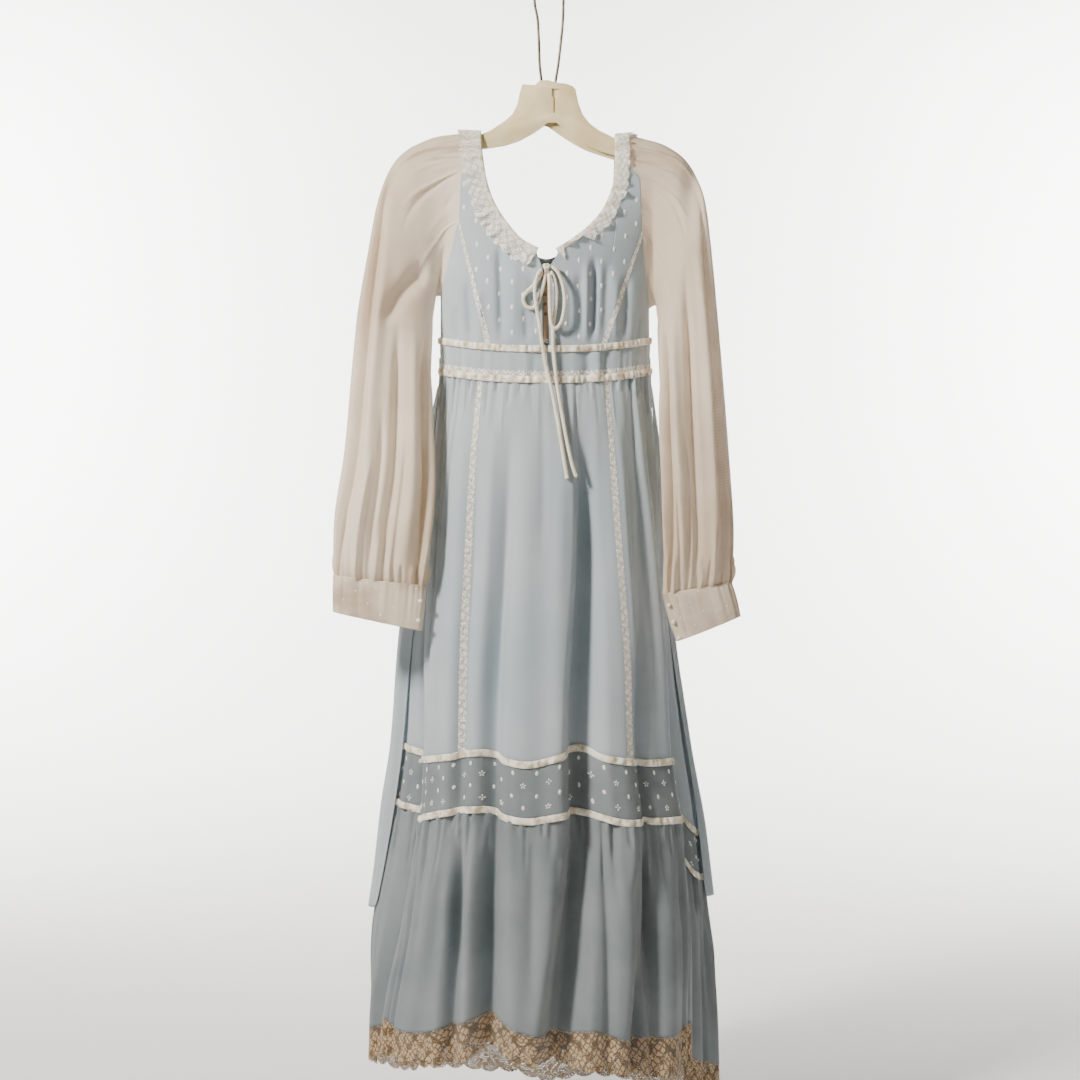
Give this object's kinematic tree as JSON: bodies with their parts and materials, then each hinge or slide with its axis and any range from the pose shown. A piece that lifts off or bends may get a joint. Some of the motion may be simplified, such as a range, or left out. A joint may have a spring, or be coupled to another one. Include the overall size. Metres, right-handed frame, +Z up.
{
  "type": "prairie dress on a hanger",
  "caption": "Full-length prairie dress with sheer full sleeves, lace trims, a banded skirt and a gathered flounce, hanging on a moulded hanger with a wire loop.",
  "frame": {"origin": "inner top of the hanger's wire loop, where a peg or hook holds it", "axes": "+X to the viewer's right, +Y to the back of the dress, +Z up"},
  "size_m": [0.5866, 0.249, 1.6508],
  "materials": {
    "blue_voile": "soft plain-woven voile",
    "dotted_voile": "voile with white embroidered dots",
    "sheer_voile": "sheer plain-woven voile",
    "embroidered_cuff": "satin with embroidered dots",
    "trim_lace": "cotton lace",
    "hem_lace": "ecru floral lace",
    "ribbon": "satin ribbon",
    "underlap": "plain cotton",
    "cord": "soft twisted cord",
    "pearl": "pearl lustre",
    "hanger_plastic": "moulded, satin",
    "hanger_wire": "dark drawn wire"
  },
  "bodies": {
    "root": {"bodice_center_front_left": "dotted_voile", "bodice_center_front_right": "dotted_voile", "bodice_side_front_left": "blue_voile", "bodice_side_front_right": "blue_voile", "princess_trim_left": "trim_lace", "princess_trim_right": "trim_lace", "bodice_back": "blue_voile", "neck_binding": "ribbon", "neck_lace": "trim_lace", "midriff_trim_upper": "ribbon", "midriff_front": "blue_voile", "midriff_back": "blue_voile", "midriff_trim_lower": "ribbon", "skirt_center_front": "blue_voile", "skirt_side_front_left": "blue_voile", "skirt_side_front_right": "blue_voile", "skirt_trim_left": "trim_lace", "skirt_trim_right": "trim_lace", "skirt_back": "blue_voile", "band_trim_upper": "ribbon", "insertion_band_front": "dotted_voile", "insertion_band_back": "dotted_voile", "band_trim_lower": "ribbon", "flounce_front": "blue_voile", "flounce_back": "blue_voile", "hem_lace_front": "hem_lace", "hem_lace_back": "hem_lace", "sleeve_left": "sheer_voile", "sleeve_right": "sheer_voile", "cuff_left": "embroidered_cuff", "cuff_right": "embroidered_cuff", "cuff_button_left_1": "pearl", "cuff_button_left_2": "pearl", "cuff_button_right_1": "pearl", "cuff_button_right_2": "pearl", "cuff_button_right_3": "pearl", "back_tie_left": "blue_voile", "back_tie_right": "blue_voile", "placket_underlap": "underlap", "drawstring_tail_left": "cord", "drawstring_tail_right": "cord", "drawstring_loop_left": "cord", "drawstring_loop_right": "cord", "drawstring_knot": "cord", "hanger_body": "hanger_plastic", "hanger_wire_loop": "hanger_wire"}
  },
  "joints": []
}
